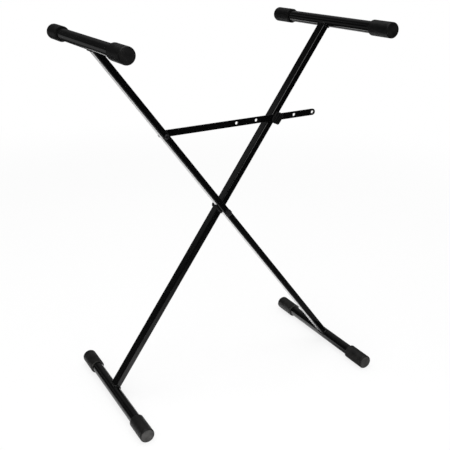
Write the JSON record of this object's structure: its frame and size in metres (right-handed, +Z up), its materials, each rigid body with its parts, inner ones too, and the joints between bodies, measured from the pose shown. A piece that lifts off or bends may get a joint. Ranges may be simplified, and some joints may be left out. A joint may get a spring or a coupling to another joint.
{
  "type": "folding keyboard stand",
  "caption": "Folding X-shaped keyboard stand of black steel tube with rubber-capped arms and feet and a pinned brace strap.",
  "frame": {"origin": "on the floor, straight below the pivot bolt and midway between the ends of the arms", "axes": "+Z up, +X to the right along the strap, +Y to the back along the pivot bolt"},
  "size_m": [0.6112, 0.433, 0.8305],
  "materials": {
    "black_paint": "glossy black powder coat",
    "strap_paint": "satin black",
    "cap_rubber": "matte moulded rubber",
    "black_hardware": "black zinc",
    "plated_steel": "bright zinc",
    "washer_plastic": "black nylon",
    "grip_plastic": "matte moulded plastic"
  },
  "bodies": {
    "rear_frame": {"rear_leg": "black_paint", "left_foot_tube": "black_paint", "left_foot_front_cap": "cap_rubber", "left_foot_rear_cap": "cap_rubber", "right_arm_tube": "black_paint", "right_arm_front_cap": "cap_rubber", "right_arm_rear_cap": "cap_rubber", "pivot_bolt": "black_hardware", "pivot_nut": "black_hardware", "pivot_front_washer": "black_hardware", "pivot_rear_washer": "black_hardware", "pivot_spacer": "washer_plastic", "rear_leg_bush": "plated_steel", "lock_bush": "plated_steel"},
    "front_frame": {"front_leg": "black_paint", "left_arm_tube": "black_paint", "left_arm_front_cap": "cap_rubber", "left_arm_rear_cap": "cap_rubber", "right_foot_tube": "black_paint", "right_foot_front_cap": "cap_rubber", "right_foot_rear_cap": "cap_rubber", "front_leg_bush": "plated_steel", "strap_screw": "black_hardware", "strap_nut": "black_hardware", "strap_washer": "washer_plastic"},
    "strap": {"brace_strap": "strap_paint"},
    "lock": {"lock_pin": "plated_steel", "lock_grip": "grip_plastic"}
  },
  "joints": [
    {"name": "fold", "type": "hinge", "parent": "rear_frame", "child": "front_frame", "pos_m": [0, 0, 0.41523], "axis": [0, 1, 0], "range_deg": [-33.7, 67.5]},
    {"name": "strap_turn", "type": "hinge", "parent": "front_frame", "child": "strap", "pos_m": [-0.14205, 0, 0.61115], "axis": [0, 1, 0], "range_deg": [-34, 17]},
    {"name": "lock_pull", "type": "slide", "parent": "strap", "child": "lock", "axis": [0, -1, 0], "range_m": [0, 0.012]}
  ],
  "couplings": [
    {"joint": "strap_turn", "follows": "fold", "ratio": -0.5}
  ]
}
